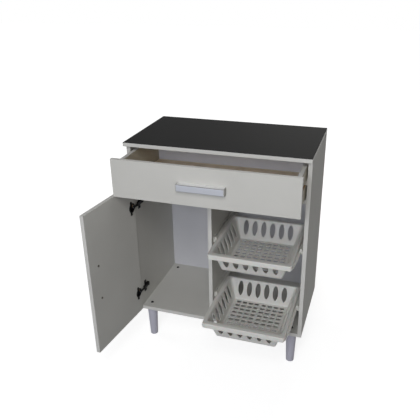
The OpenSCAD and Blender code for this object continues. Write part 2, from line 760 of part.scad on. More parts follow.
module basket_slots() {
    for (k = [0:5]) translate([(k - 2.5) * 37, basket_length, leaf_z]) rotate([90, 0, 0])
        linear_extrude(basket_length) leaf();
    for (k = [0:5]) translate([-basket_w / 2, (lip + basket_y1) / 2 + (k - 2.5) * side_leaf_pitch, leaf_z])
        rotate([90, 0, 90]) linear_extrude(basket_w) leaf();
    for (row = [0:8], col = [0:3], s = [-1, 1])
        translate([s * (14.5 + 25.5 * col), basket_y1 - 44 - 25 * row, -basket_height])
            cube([18, 12, 4 * basket_floor], center = true);
}
module rim_outline(cut) {
    a = basket_w / 2 - rim_bead - cut;
    y1 = basket_length - cut;
    polygon([[-a + 3, cut], [a - 3, cut], [a, cut + 3], [a, y1 - 4], [a - 4, y1], [-a + 4, y1], [-a, y1 - 4],
        [-a, cut + 3]]);
}
module flange(s) {
    inner = basket_w / 2 - rim_bead - skirt / 2;
    a = basket_w / 2;
    polygon([[s * inner, 8], [s * (a - 7), 8], [s * (a - 4), 40], [s * a, 75], [s * a, basket_length - 8],
        [s * (a - 4), basket_length - 4], [s * inner, basket_length - 4]]);
}
module basket() {
    difference() {
        frustum(basket_wall, basket_height);
        translate([0, 0, tiny]) frustum(0, basket_height - basket_floor + tiny);
        basket_slots();
    }
    translate([0, 0, -rim_t]) linear_extrude(rim_t) difference() {
        rim_outline(0);
        translate([-basket_in, lip]) square([2 * basket_in, basket_y1 - lip]);
    }
    translate([0, 0, -rim_step - rim_t]) linear_extrude(rim_step + rim_t / 2) difference() {
        rim_outline(0);
        rim_outline(skirt);
    }
    translate([0, 0, -rim_step - rim_t]) linear_extrude(rim_t) {
        flange(1);
        flange(-1);
    }
    front = basket_w / 2 - rim_bead - 3;
    slab(-front, front, 0, skirt, -front_skirt, -rim_t / 2);
}
module place_basket(rim, out) color(plastic) placed() translate([bay_mid, y_front + 1 - out, rim]) basket();
module upper_basket() place_basket(rim_high, upper_out);
module lower_basket() place_basket(rim_low, lower_out);

top_board();
top_laminate();
side_left();
side_right();
bottom_panel();
partition();
front_rail();
back_rail();
back_panel();
cam_locks();
cam_bolts();
dowels();
panel_screws();
back_nails();
leg_front_left();
leg_front_right();
leg_back_left();
leg_back_right();
leg_bolts();
runner_strip_left();
runner_strip_right();
runner_screws();
basket_rail_upper_left();
basket_rail_upper_right();
basket_rail_lower_left();
basket_rail_lower_right();
rail_screws();
hinge_plate_upper();
hinge_plate_lower();
hinge_arm_upper();
hinge_arm_lower();
hinge_screws();
drawer_front();
drawer_side_left();
drawer_side_right();
drawer_back();
drawer_bottom();
drawer_cam_locks();
drawer_cam_bolts();
drawer_dowels();
drawer_screws();
drawer_handle();
drawer_handle_caps();
drawer_handle_screws();
door_panel();
hinge_cup_upper();
hinge_cup_lower();
hinge_pins();
cup_screws();
door_handle();
door_handle_caps();
door_handle_screws();
upper_basket();
lower_basket();
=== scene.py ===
# %% [markdown]
# # A kitchen base cabinet in white board
#
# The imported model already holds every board, leg and fitting as a true solid. This lesson dresses it: it
# gives each board its paper face and its edge band, moulds the two plastic baskets with their rounded
# corners, and lights the cabinet as for a catalogue picture.

import json
import math

import bmesh
import bpy
import numpy as np
from mathutils import Matrix, Vector


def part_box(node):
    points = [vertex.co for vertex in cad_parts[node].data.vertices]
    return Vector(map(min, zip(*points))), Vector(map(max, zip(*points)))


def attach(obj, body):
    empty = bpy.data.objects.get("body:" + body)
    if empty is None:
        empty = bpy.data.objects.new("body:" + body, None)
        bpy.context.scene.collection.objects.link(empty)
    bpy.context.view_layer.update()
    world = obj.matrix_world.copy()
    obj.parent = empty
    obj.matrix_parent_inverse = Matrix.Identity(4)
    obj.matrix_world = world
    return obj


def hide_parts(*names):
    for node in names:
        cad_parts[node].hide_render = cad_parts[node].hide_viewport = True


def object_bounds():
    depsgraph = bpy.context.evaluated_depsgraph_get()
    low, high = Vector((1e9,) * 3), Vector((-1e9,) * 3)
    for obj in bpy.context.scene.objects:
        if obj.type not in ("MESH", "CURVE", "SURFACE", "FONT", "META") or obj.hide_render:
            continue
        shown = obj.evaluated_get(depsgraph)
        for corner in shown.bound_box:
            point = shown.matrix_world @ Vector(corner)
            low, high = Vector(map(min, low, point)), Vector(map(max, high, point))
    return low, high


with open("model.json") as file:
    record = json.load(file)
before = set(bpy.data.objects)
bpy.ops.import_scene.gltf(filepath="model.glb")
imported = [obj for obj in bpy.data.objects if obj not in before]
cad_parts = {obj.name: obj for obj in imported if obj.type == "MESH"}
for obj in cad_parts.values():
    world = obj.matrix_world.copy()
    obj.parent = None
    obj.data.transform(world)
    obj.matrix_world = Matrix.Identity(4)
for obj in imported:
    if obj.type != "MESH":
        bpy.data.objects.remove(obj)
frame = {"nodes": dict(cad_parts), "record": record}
cad_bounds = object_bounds()
nodes = frame["nodes"]
body_of_node = {n: body for body, names in frame["record"]["behaviour"]["bodies"].items() for n in names}
MM = 0.001

# %% [markdown]
# ## The camera
#
# A camera could be placed by eye, but then no edge would lie where the photograph has it. So it was fitted
# to the outline of the top, the sides, the drawer front and the door. It stands to the right of the cabinet
# and above it, looks down by about 25 degrees and is rolled by one degree. The lens is given for Blender's
# usual 36 mm wide sensor.

# %% Camera
CAMERA_AT = (861.4, -1745.5, 1482.9)
YAW, PITCH, ROLL = (math.radians(a) for a in (18.71, 24.75, -0.97))
LENS = 45.67
SENSOR = 36.0
NEAREST = 50.0

camera = bpy.data.cameras.new("camera")
camera.lens = LENS
camera.sensor_width = SENSOR
camera.clip_start = NEAREST * MM
camera_object = bpy.data.objects.new("camera", camera)
bpy.context.collection.objects.link(camera_object)
forward = Vector((-math.sin(YAW) * math.cos(PITCH), math.cos(YAW) * math.cos(PITCH), -math.sin(PITCH)))
level_right = Vector((math.cos(YAW), math.sin(YAW), 0.0))
level_up = level_right.cross(forward)
right = math.cos(ROLL) * level_right + math.sin(ROLL) * level_up
up = -math.sin(ROLL) * level_right + math.cos(ROLL) * level_up
turn = Matrix((right, up, -forward)).transposed().to_4x4()
camera_object.matrix_world = Matrix.Translation(Vector(CAMERA_AT) * MM) @ turn
bpy.context.scene.camera = camera_object
print("camera looks along", [round(c, 3) for c in forward])

# %% [markdown]
# ## Helpers for the finishes
#
# Colours are picked as sRGB hex values and have to be made linear for the shader. A finish is a small tree
# of nodes, so one function adds a node, sets its settings and links its inputs. Patterns read Object
# coordinates, which are metres, so a pattern's scale is one divided by the size of its grain in metres.

# %% Colour and node helpers
def linear(hex_colour):
    """sRGB to linear: below 0.04045 a value is divided by 12.92, above it follows a power of 2.4."""
    c = np.array([int(hex_colour[i:i + 2], 16) for i in (1, 3, 5)]) / 255.0
    c = np.where(c <= 0.04045, c / 12.92, ((c + 0.055) / 1.055) ** 2.4)
    return (*c.tolist(), 1.0)


def add(tree, kind, settings=None, inputs=None):
    """One node: settings are its properties, inputs are its sockets, each a value or another's output."""
    node = tree.nodes.new(kind)
    for name, value in (settings or {}).items():
        setattr(node, name, value)
    for name, value in (inputs or {}).items():
        if isinstance(value, bpy.types.NodeSocket):
            tree.links.new(value, node.inputs[name])
        else:
            node.inputs[name].default_value = value
    return node


def finish(name, colour, roughness, metallic=0.0, **more):
    """A new material and its shader. more holds other sockets of the shader, set as plain numbers."""
    material = bpy.data.materials.new(name)
    material.use_nodes = True
    tree = material.node_tree
    shader = tree.nodes["Principled BSDF"]
    shader.inputs["Base Color"].default_value = linear(colour)
    shader.inputs["Roughness"].default_value = roughness
    shader.inputs["Metallic"].default_value = metallic
    for socket, value in more.items():
        shader.inputs[socket.replace("_", " ")].default_value = value
    place = add(tree, "ShaderNodeTexCoord").outputs["Object"]
    return material, tree, shader, place


print("mid grey #808080 is", round(linear("#808080")[0], 3), "in linear light")


# %% Patterns: patches of colour and fine bumps
def grain(tree, place, size, stretch, detail):
    """Noise with grain of that size in millimetres, drawn out along an axis where stretch is below 1."""
    placed = add(tree, "ShaderNodeMapping", inputs={"Vector": place, "Scale": stretch}).outputs[0]
    per_metre = 1.0 / (size * MM)
    noise = add(tree, "ShaderNodeTexNoise", inputs={"Vector": placed, "Scale": per_metre, "Detail": detail})
    return noise.outputs["Fac"]


# the values of the noise at which a mottle is fully dark and fully light
DARK_BELOW, LIGHT_ABOVE = 0.3, 0.7


def mottle(tree, shader, place, light, dark, size, stretch=(1, 1, 1), detail=3.0):
    """Colour that is dark where the noise is low, light where it is high, and blends between."""
    ramp = add(tree, "ShaderNodeValToRGB", inputs={"Fac": grain(tree, place, size, stretch, detail)})
    limits = (DARK_BELOW, LIGHT_ABOVE)
    for stop, position, colour in zip(ramp.color_ramp.elements, limits, (dark, light)):
        stop.position = position
        stop.color = linear(colour)
    tree.links.new(ramp.outputs["Color"], shader.inputs["Base Color"])


def relief(tree, shader, place, size, depth, stretch=(1, 1, 1)):
    """Bumps of that size and depth in millimetres."""
    height = grain(tree, place, size, stretch, 2.0)
    bump = add(tree, "ShaderNodeBump", inputs={"Height": height, "Distance": depth * MM, "Strength": 1.0})
    tree.links.new(bump.outputs["Normal"], shader.inputs["Normal"])


print("grain of 2 mm needs a scale of", 1.0 / (2.0 * MM))

# %% [markdown]
# ## Board finishes
#
# The boards are melamine-faced chipboard: printed paper soaked in melamine resin and pressed on a hot plate
# with a fine pearl pattern. The narrow sides carry a glued plastic edge band. Where a hole or a groove is
# cut, the bare brown chips show. A photograph of the paper could be wrapped round each board, but its
# pattern is finer than a pixel here, so noise does as well. The pearl is about half a millimetre wide and
# is drawn at 1.5 mm, so that it shows.

# %% Melamine, edge band and chipboard
PEARL, PEARL_DEPTH = 1.5, 0.02

# a matt face with a highlight that spreads wide, and a tone that wanders a little from end to end
melamine, tree, shader, place = finish("melamine_paper_pearl", "#C9C8C3", roughness=0.55,
                                       Specular_IOR_Level=0.07)
mottle(tree, shader, place, "#CBCAC5", "#C7C6C1", size=160.0)
relief(tree, shader, place, size=PEARL, depth=PEARL_DEPTH)

# a little smoother than the paper, and lighter, which paints a faint highlight along each board's outline
edge_band_and_highlight, tree, shader, place = finish("abs_edge_band_painted_highlight", "#D0CFCB", roughness=0.5, Specular_IOR_Level=0.15)
relief(tree, shader, place, size=4.0, depth=0.02)

# dull brown chips of many shades, rough to the eye
chipboard, tree, shader, place = finish("raw_chipboard", "#A98C66", roughness=0.85)
mottle(tree, shader, place, "#BFA27A", "#8C6D48", size=2.5, detail=5.0)
relief(tree, shader, place, size=1.6, depth=0.2)
print("board finishes:", melamine.name, edge_band_and_highlight.name, chipboard.name)

# %% [markdown]
# The strip that shows over the drawer front has a cooler white at the back and beige at the sides. The
# drawer's sides get a beige paper of their own. Its back gets a white that is lighter and bluer than the
# carcass's paper: partly a paper of its own, partly painted light, the cool light that falls into the
# drawer. Coloured lamps could tint it instead, but then the tint would change with every pose.

# %% Papers of the drawer box
# nearly white with a touch of blue, as matt as the other paper; lighter than the carcass's paper, it paints
# in the cool light that reaches the back of the drawer
cool_board_and_painted_light, tree, shader, place = finish("cool_white_melamine_painted_light", "#E4E6EF", roughness=0.55,
                                         Specular_IOR_Level=0.12)
relief(tree, shader, place, size=PEARL, depth=PEARL_DEPTH)

# a warm beige that looks brown in the shade under the top
beige_board, tree, shader, place = finish("beige_melamine", "#C2BBAB", roughness=0.5,
                                          Specular_IOR_Level=0.12)
relief(tree, shader, place, size=PEARL, depth=PEARL_DEPTH)
print("drawer papers:", cool_board_and_painted_light.name, beige_board.name)

# %% [markdown]
# The top is covered with a high-pressure laminate, nearly black, pressed with the same pearl. The back and
# the drawer's bottom are 3 mm hardboard: pressed wood fibre, painted on the side that shows. The paint is
# white at the back and beige in the drawer, and the beige is made very light, which paints in the light on
# the drawer's floor. One flat colour would look like a hole in the picture, so each sheet has a fine speckle
# or a faint drift of tone.

# %% Laminate and hardboard
# nearly black and so matt that it mirrors nothing, with a fine speckle
laminate, tree, shader, place = finish("dark_laminate_pearl", "#1C1C1C", roughness=0.7,
                                       Specular_IOR_Level=0.05)
mottle(tree, shader, place, "#1F1F1F", "#1A1A1A", size=1.8, detail=4.0)
relief(tree, shader, place, size=PEARL, depth=0.03)

# thin even paint, cooler than the boards round it
painted_sheet, tree, shader, place = finish("painted_hardboard", "#C8C8CC", roughness=0.5)
mottle(tree, shader, place, "#CACACE", "#C5C5C9", size=120.0)

# the same paint in beige, which warms the inside of the drawer; it is made very light, which paints in the
# light that falls on the drawer's floor
beige_sheet_and_painted_light, tree, shader, place = finish("beige_hardboard_painted_light", "#F2E0C6", roughness=0.5)
mottle(tree, shader, place, "#F4E3CA", "#EFDCC1", size=120.0)

# felted brown fibres, dull and speckled
raw_sheet, tree, shader, place = finish("raw_hardboard", "#7A5A3C", roughness=0.8)
mottle(tree, shader, place, "#86664A", "#6C4E33", size=1.2, detail=6.0)
relief(tree, shader, place, size=1.0, depth=0.1)
print("sheet finishes:", laminate.name, painted_sheet.name, beige_sheet_and_painted_light.name, raw_sheet.name)

# %% [markdown]
# ## Metal finishes
#
# Each handle is a plastic profile with a silver foil on the side that looks away from the board. The profile
# is made nearly white, which paints in the light that falls on its top from above, and a grey line on the
# rounded corner opposite the side that is open for the fingers is painted shade. The foil is a lacquer with
# metal flakes rather than bare metal, so it is only partly metallic, and faint brush lines run along it. The
# lines could be an image, but noise that is stretched a hundredfold along one axis gives them without one.
# The hinges are steel with a black nickel coat, and the small fittings are zinc plated.

# %% Foil, zinc and dark screws
BRUSH_LINES, LINE_STRETCH = 0.6, 0.01


def brushed(name, along):
    """Silver foil with brush lines along one axis. Real ones are finer: these are drawn to show."""
    material, tree, shader, place = finish(name, "#ACAFB7", roughness=0.45, metallic=0.3)
    stretch = [1.0, 1.0, 1.0]
    stretch["xyz".index(along)] = LINE_STRETCH
    relief(tree, shader, place, size=BRUSH_LINES, depth=0.02, stretch=stretch)
    return material


foil = {"drawer": brushed("silver_foil_along_x", "x"), "door": brushed("silver_foil_along_z", "z")}

# bright metal with the cloudy spangle of a thin plated coat
zinc, tree, shader, place = finish("zinc_plated_steel", "#B4B6B8", roughness=0.34, metallic=1.0)
mottle(tree, shader, place, "#BCBEC0", "#A2A4A6", size=3.0)

# almost black, with a soft sheen on the pressed edges
black_metal, tree, shader, place = finish("black_nickel_steel", "#161617", roughness=0.38, metallic=0.6)
relief(tree, shader, place, size=1.2, depth=0.03)

# dark heads that show as dots on the white boards
dark_screw = finish("black_zinc_screw", "#232324", roughness=0.45, metallic=0.7)[0]

# duller and browner ends, which hardly stand out from the board; their darkness is partly the screws' own
# finish and partly painted shade, standing in for the shadow of the hollow round each head
dull_screw_and_painted_shade = finish("dull_bronze_screw_painted_shade", "#6E6A62", roughness=0.5, metallic=0.5)[0]
print("metal finishes:", *[m.name for m in (*foil.values(), zinc, black_metal, dark_screw, dull_screw_and_painted_shade)])

# %% [markdown]
# ## Plastic and wood finishes
#
# The legs are moulded plastic with a little silver pigment. The baskets and rails are polypropylene, which
# is a little translucent, so its thin edges look soft. Glass-like transmission could do that, but it is
# slow and looks wet, so a little subsurface light does it. A mould of fine-grained steel leaves its grain
# on every plastic, and it is drawn 1.2 to 2 mm wide so that it shows. The dowels are turned beech.

# %% Plastics and wood
MOULD_GRAIN, GRAIN_DEPTH = 2.0, 0.02

# silver grey with a violet tint, and a fine sparkle of pigment
leg_plastic, tree, shader, place = finish("silver_leg_plastic", "#BFBECA", roughness=0.5,
                                          Specular_IOR_Level=0.25)
mottle(tree, shader, place, "#C2C1CD", "#BCBBC7", size=1.2, detail=4.0)
relief(tree, shader, place, size=1.2, depth=GRAIN_DEPTH)

# a smooth, slightly waxy white, with light that spreads a few millimetres under the skin
basket_plastic, tree, shader, place = finish("white_polypropylene", "#D5D4CF", roughness=0.36,
                                             Subsurface_Weight=0.08, Subsurface_Scale=0.004)
relief(tree, shader, place, size=MOULD_GRAIN, depth=GRAIN_DEPTH)

# greyer than the baskets, and not translucent
rail_plastic, tree, shader, place = finish("white_rail_plastic", "#C6C5BE", roughness=0.4)
relief(tree, shader, place, size=MOULD_GRAIN, depth=GRAIN_DEPTH)

# the brightest plastic here, seen as a thin line along each handle: made nearly white, it paints in the
# light from above on the handle's top
profile_plastic_and_painted_light, tree, shader, place = finish("pale_profile_plastic_painted_light", "#F2F2F2", roughness=0.4)
relief(tree, shader, place, size=MOULD_GRAIN, depth=GRAIN_DEPTH)

# a mid-grey line between the profile and its foil: painted shade on the handle's rounded corner
painted_shade_corner_plastic, tree, shader, place = finish("grey_corner_painted_shade", "#8C8C8E", roughness=0.5)
relief(tree, shader, place, size=MOULD_GRAIN, depth=GRAIN_DEPTH)

# the handle's ends, plain and darker than its front
cap_plastic, tree, shader, place = finish("grey_cap_plastic", "#A4A4A0", roughness=0.45)
relief(tree, shader, place, size=1.5, depth=GRAIN_DEPTH)

# pale wood with its grain drawn out along x, the way that most of the dowels lie
beech, tree, shader, place = finish("turned_beech", "#C9A679", roughness=0.6)
mottle(tree, shader, place, "#D2B084", "#BB9466", size=1.5, stretch=(0.1, 1, 1))
print(len(bpy.data.materials), "materials")

# %% [markdown]
# ## Boards with soft edges
#
# A solid's edges are perfectly sharp, and a sharp edge catches no light. A real board's edge is rounded by
# the trimming cutter. New boxes with round edges could be drawn, but they would lose every hole and groove
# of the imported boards. So each board is copied, its loose triangles are welded, and a bevel modifier rolls
# its edges.

# %% Copy and round a node
# points this close, in millimetres, are one point, faces that turn less than FLAT are one face, and an
# edge that turns more than SHARP is rolled
WELD = 0.002
FLAT, SHARP = math.radians(0.5), math.radians(32.0)


def welded_copy(node):
    """A copy of a node's mesh with its triangles welded and its flat areas joined."""
    mesh = nodes[node].data.copy()
    mesh.name = node + "_soft"
    mesh.materials.clear()
    work = bmesh.new()
    work.from_mesh(mesh)
    bmesh.ops.remove_doubles(work, verts=work.verts, dist=WELD * MM)
    bmesh.ops.dissolve_limit(work, angle_limit=FLAT, verts=work.verts, edges=work.edges)
    work.to_mesh(mesh)
    work.free()
    for attribute in [a for a in mesh.attributes if a.name == "custom_normal"]:
        mesh.attributes.remove(attribute)
    mesh.shade_smooth()
    return mesh


def roll_edges(piece, name, width, angle, clamp):
    """A bevel modifier of that width in millimetres on every edge sharper than the angle."""
    bevel = piece.modifiers.new(name, "BEVEL")
    bevel.width = width * MM
    bevel.segments = 2
    bevel.limit_method = "ANGLE"
    bevel.angle_limit = angle
    bevel.use_clamp_overlap = clamp
    bevel.harden_normals = True


def soften(node, width, materials):
    """The node's own shape with its sharp edges rolled to that width in millimetres."""
    mesh = welded_copy(node)
    for material in materials:
        mesh.materials.append(material)
    piece = bpy.data.objects.new(node + "_soft", mesh)
    bpy.context.collection.objects.link(piece)
    roll_edges(piece, "rolled edges", width, SHARP, clamp=False)
    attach(piece, body_of_node[node])
    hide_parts(node)
    return piece


print("the top board comes as", len(nodes["top_board"].data.polygons), "loose triangles")

# %% [markdown]
# A board has three kinds of face. One that lies on the outside and looks along the thickness is paper,
# another outside face is edge band, and any other face is the wall of a hole or a groove and shows bare
# chips. The mesh can tell them apart by itself, so no face has to be picked by hand.

# %% Tell a board's faces apart
PAPER, BAND, CUT = 0, 1, 2
# a face is on the outside if no point lies further beyond its plane, in millimetres
BEYOND = 0.1
# the cosine of 8 degrees: two directions that differ by less count as the same
SAME_WAY = 0.99


def measures(items, name, width=1):
    """A property of all points or faces as one array, with width numbers for each."""
    values = np.empty(len(items) * width)
    items.foreach_get(name, values)
    return values.reshape(-1, width) if width > 1 else values


def face_kinds(mesh):
    """The kind of each face. An outside face is paper if it looks along the board's thickness, which is
    the normal of the largest face, and edge band if not. Every other face is cut."""
    points = measures(mesh.vertices, "co", 3)
    normals = measures(mesh.polygons, "normal", 3)
    centres = measures(mesh.polygons, "center", 3)
    across = normals[np.argmax(measures(mesh.polygons, "area"))]
    beyond = (points @ normals.T).max(axis=0) - np.einsum("ij,ij->i", centres, normals)
    outside = np.where(np.abs(normals @ across) > SAME_WAY, PAPER, BAND)
    return np.where(beyond > BEYOND * MM, CUT, outside)


def give_materials(piece, kinds):
    """Each face takes the material in the slot of its kind."""
    piece.data.polygons.foreach_set("material_index", kinds.astype(np.int32))


print("slots: paper", PAPER, "edge band", BAND, "cut", CUT)

# %% Dress the boards
BOARD_EDGE, SHEET_EDGE = 0.6, 0.3
BOARDS = ["top_board", "side_left", "side_right", "bottom_panel", "partition", "front_rail", "back_rail",
          "drawer_front", "drawer_side_left", "drawer_side_right", "drawer_back", "door_panel"]
PAPERS = {"drawer_back": cool_board_and_painted_light, "drawer_side_left": beige_board, "drawer_side_right": beige_board}
for board in BOARDS:
    piece = soften(board, BOARD_EDGE, [PAPERS.get(board, melamine), edge_band_and_highlight, chipboard])
    kinds = face_kinds(piece.data)
    give_materials(piece, kinds)
    print(board, "has faces of paper, edge band and cut:", np.bincount(kinds, minlength=3))

# %% Dress the sheets
# each sheet's paint and the way that its painted side looks
PAINTED = {"back_panel": (painted_sheet, (0, -1, 0)), "drawer_bottom": (beige_sheet_and_painted_light, (0, 0, 1))}
# the cosine of 60 degrees: a face that leans less from the painted side is painted
PAINTED_LEAN = 0.5
for sheet, (paint, looks) in PAINTED.items():
    piece = soften(sheet, SHEET_EDGE, [paint, raw_sheet])
    towards = measures(piece.data.polygons, "normal", 3) @ looks
    painted = (face_kinds(piece.data) == PAPER) & (towards > PAINTED_LEAN)
    give_materials(piece, np.where(painted, 0, 1))
soften("top_laminate", SHEET_EDGE, [laminate])
print(len(PAINTED) + 1, "sheets dressed")

# %% [markdown]
# ## Legs, rails, hinges and small fittings
#
# Screws, nails and dowels are right as they are and only need their finish, because their edges are smaller
# than a pixel. The legs, rails, runners, hinges and handle caps are larger, so their edges are rolled too.

# %% Finish the nodes whose shape is right
OWN_SHAPE = {zinc: ["cam_locks", "cam_bolts", "panel_screws", "back_nails", "runner_screws", "rail_screws",
                    "drawer_cam_locks", "drawer_cam_bolts", "drawer_screws", "hinge_pins"],
             beech: ["dowels", "drawer_dowels"],
             dark_screw: ["leg_bolts", "hinge_screws", "cup_screws"],
             dull_screw_and_painted_shade: ["drawer_handle_screws", "door_handle_screws"]}
for material, names in OWN_SHAPE.items():
    for name in names:
        nodes[name].data.materials.clear()
        nodes[name].data.materials.append(material)
print(sum(len(names) for names in OWN_SHAPE.values()), "small fittings keep their shape")

# %% Roll the edges of the larger fittings
LEGS = ["leg_front_left", "leg_front_right", "leg_back_left", "leg_back_right"]
RAILS = ["basket_rail_upper_left", "basket_rail_upper_right", "basket_rail_lower_left",
         "basket_rail_lower_right", "runner_strip_left", "runner_strip_right"]
HINGES = ["hinge_plate_upper", "hinge_plate_lower", "hinge_arm_upper", "hinge_arm_lower",
          "hinge_cup_upper", "hinge_cup_lower"]
CAPS = ["drawer_handle_caps", "door_handle_caps"]
LEG_EDGE, RAIL_EDGE, HINGE_EDGE, CAP_EDGE = 0.8, 0.5, 0.3, 0.5
for names, material, width in ((LEGS, leg_plastic, LEG_EDGE), (RAILS, rail_plastic, RAIL_EDGE),
                               (HINGES, black_metal, HINGE_EDGE), (CAPS, cap_plastic, CAP_EDGE)):
    for name in names:
        soften(name, width, [material])
    print(len(names), "pieces in", material.name)


# %% [markdown]
# ## The handles
#
# The foil covers every face of a handle that leans away from its board. The rounded corner opposite the side
# that is open for the fingers is grey instead, as painted shade, and the faces that don't lean away are the
# nearly white profile, as painted light from above. A skin of foil could be laid over the profile, but it
# would be thinner than any edge that shows, so the profile's own faces take its material. They are told
# apart by their normals, because the door's handle is turned with the open door.

# %% Foil, painted shade and profile on each handle
HANDLE_EDGE = 0.4
LEAST_LEAN, FULL_LEAN, CORNER_SIDE = 0.3, 0.9, -0.3
# the side on which a handle is open for the fingers: below, and towards the door's free edge
OPENS = {"drawer_handle": (0, 0, -1), "door_handle": (-0.11, -0.99, 0)}
BOARD_OF = {"drawer_handle": "drawer_front", "door_handle": "door_panel"}


def outwards(board, handle):
    """The direction square to the board, on the side where its handle is."""
    faces = nodes[board].data.polygons
    square = Vector(measures(faces, "normal", 3)[np.argmax(measures(faces, "area"))])
    towards = sum(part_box(handle), Vector()) - sum(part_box(board), Vector())
    return square if square @ towards > 0 else -square


for handle, board in BOARD_OF.items():
    piece = soften(handle, HANDLE_EDGE, [profile_plastic_and_painted_light, painted_shade_corner_plastic, foil[body_of_node[handle]]])
    normals = measures(piece.data.polygons, "normal", 3)
    lean = normals @ outwards(board, handle)
    opening = normals @ Vector(OPENS[handle])
    # the faces of the rounded corner that take the grey painted shade; the faces that don't lean away take
    # the profile's painted light
    painted_shade_corner = (lean < FULL_LEAN) & (opening < CORNER_SIDE)
    kinds = np.where(lean > LEAST_LEAN, np.where(painted_shade_corner, 1, 2), 0)
    give_materials(piece, kinds)
    print(handle, "has", int((kinds == 2).sum()), "faces with foil,", int((kinds == 1).sum()), "on its seam")

# %% [markdown]
# ## The baskets
#
# Each basket is one moulding: walls that lean in, corners that open towards the rim, leaf-shaped slots in
# the walls and rows of short slots in the floor. The slots could be cut with Booleans, but 96 cuts leave a
# ragged mesh. So the basket is made as one sheet, with its slots left open, and a Solidify modifier gives it
# the 1.8 mm wall. The sheet is a stack of closed loops with the same number of points, from the lower edge
# of the rim, over the rim, down the wall and round to the floor. Neighbouring loops are joined by quads.

# %% Sizes of a basket, in millimetres from the middle of its rim's front edge
HALF_BEAD, LONG = 155.0, 350.0
FLANGE, STEP = 9.5, 14.0
SKIRT_FRONT, SKIRT_BACK = 18.5, 17.0
HALF_MOUTH, MOUTH_FRONT, MOUTH_BACK = 142.0, 22.0, 340.0
LEAN = 29.5 / 88.0
FLOOR = -85.5
WALL = 1.8
RIM_CORNER, MOUTH_CORNER = 9.0, 14.0
RIM_ROUND, MOUTH_ROUND, FLOOR_ROUND = 2.0, 3.0, 8.0
# steps of a loop along the front, along a side and round a corner
ALONG_FRONT, ALONG_SIDE, ALONG_CORNER = 48, 42, 8
print("a basket is", 2 * (HALF_BEAD + FLANGE), "x", LONG, "x", -FLOOR + WALL, "mm")

# %% Where the wall goes over into the floor
TILT = math.atan(LEAN)
ROUND_MIDDLE = FLOOR + FLOOR_ROUND
ROUND_START = ROUND_MIDDLE - FLOOR_ROUND * math.sin(TILT)
INSET_FLOOR = -LEAN * ROUND_MIDDLE + FLOOR_ROUND / math.cos(TILT)
CORNER_LOW = FLOOR_ROUND * math.cos(TILT)
print("floor inset", round(INSET_FLOOR, 2), "rounding starts at", round(ROUND_START, 2))


# %% A loop round the basket
def loop(half, front, back, radius, height, across=None, along=None):
    """A rounded rectangle as a closed loop, from the front left corner towards the right.

    across and along place the points on the straight front and side; otherwise they are spread evenly."""
    straight = half - radius
    across = np.linspace(-straight, straight, ALONG_FRONT + 1) if across is None else across
    along = np.linspace(front + radius, back - radius, ALONG_SIDE + 1) if along is None else along
    quarter = np.linspace(0, np.pi / 2, ALONG_CORNER + 1)[:-1]

    def corner(x, y, start):
        return np.column_stack([x + radius * np.cos(start + quarter), y + radius * np.sin(start + quarter)])

    def line(x, y):
        x, y = np.broadcast_arrays(x, y)
        return np.column_stack([x, y])

    xy = np.vstack([line(across[:-1], front), corner(straight, front + radius, -np.pi / 2),
                    line(half, along[:-1]), corner(straight, back - radius, 0.0),
                    line(across[:0:-1], back), corner(-straight, back - radius, np.pi / 2),
                    line(-half, along[:0:-1]), corner(-straight, front + radius, np.pi)])
    return np.column_stack([xy, np.full(len(xy), height)])


def smooth_step(t):
    """0 below 0, 1 above 1, and between them three times t squared less twice t cubed."""
    t = np.clip(t, 0.0, 1.0)
    return t * t * (3.0 - 2.0 * t)


print("a loop has", len(loop(HALF_BEAD, 0.0, LONG, RIM_CORNER, 0.0)), "points")

# %% [markdown]
# The rim is a flat bead round the mouth with a skirt turned down at its outer edge. Along the front the
# skirt is the light band that the hand pulls. At the sides a flange stands out from the skirt 14 mm below
# the bead, and runs in the rails. It widens slowly from the front corners, over the first 75 mm.

# %% Loops of the rim
# the flange has these shares of its width at these distances from the front, and ends before the back
FLANGE_AT, FLANGE_SHARE = [6.0, 9.0, 40.0, 75.0], [0.0, 0.25, 0.6, 1.0]
FLANGE_END, FLANGE_FADE = 3.0, 8.0
# the deeper skirt of front and back begins this far round the corner and fades over this length
SKIRT_TURN, SKIRT_FADE = 1.0, 5.0
# the angles of the points on the skirt's rounded upper edge
RIM_TURN = np.radians([0, 22.5, 45, 67.5, 90])


def rim_loop(inset, height):
    """The bead's outline, drawn in by inset."""
    return loop(HALF_BEAD - inset, inset, LONG - inset, RIM_CORNER - 0.5 * inset, height)


def flange_loop():
    """The lowest outer edge: FLANGE outside the skirt at the sides, the skirt's own edge at both ends."""
    points = rim_loop(0.0, -STEP)
    y = points[:, 1]
    begun = np.interp(y, FLANGE_AT, FLANGE_SHARE)
    ended = smooth_step((LONG - FLANGE_END - y) / FLANGE_FADE)
    points[:, 0] += np.sign(points[:, 0]) * FLANGE * begun * ended
    points[:, 2] -= (SKIRT_FRONT - STEP) * (1.0 - smooth_step((y - SKIRT_TURN) / SKIRT_FADE))
    points[:, 2] -= (SKIRT_BACK - STEP) * (1.0 - smooth_step((LONG - SKIRT_TURN - y) / SKIRT_FADE))
    return points


def rim_loops():
    """From the flange in to the skirt, up it, round its upper edge and in to the mouth."""
    rolled = [rim_loop(RIM_ROUND * (1 - np.cos(a)), -RIM_ROUND * (1 - np.sin(a))) for a in RIM_TURN]
    return [flange_loop(), rim_loop(0.0, -STEP), rim_loop(0.0, -STEP / 2)] + rolled


print(len(rim_loops()), "loops make the rim")


# %% Loops of the wall and of the rounded edge at the floor
# the angles of the points on the rounding at the mouth, from level to nearly the wall's own lean
MOUTH_TURN = np.radians([0, 25, 50, 72.9])
FLOOR_STEPS = 6


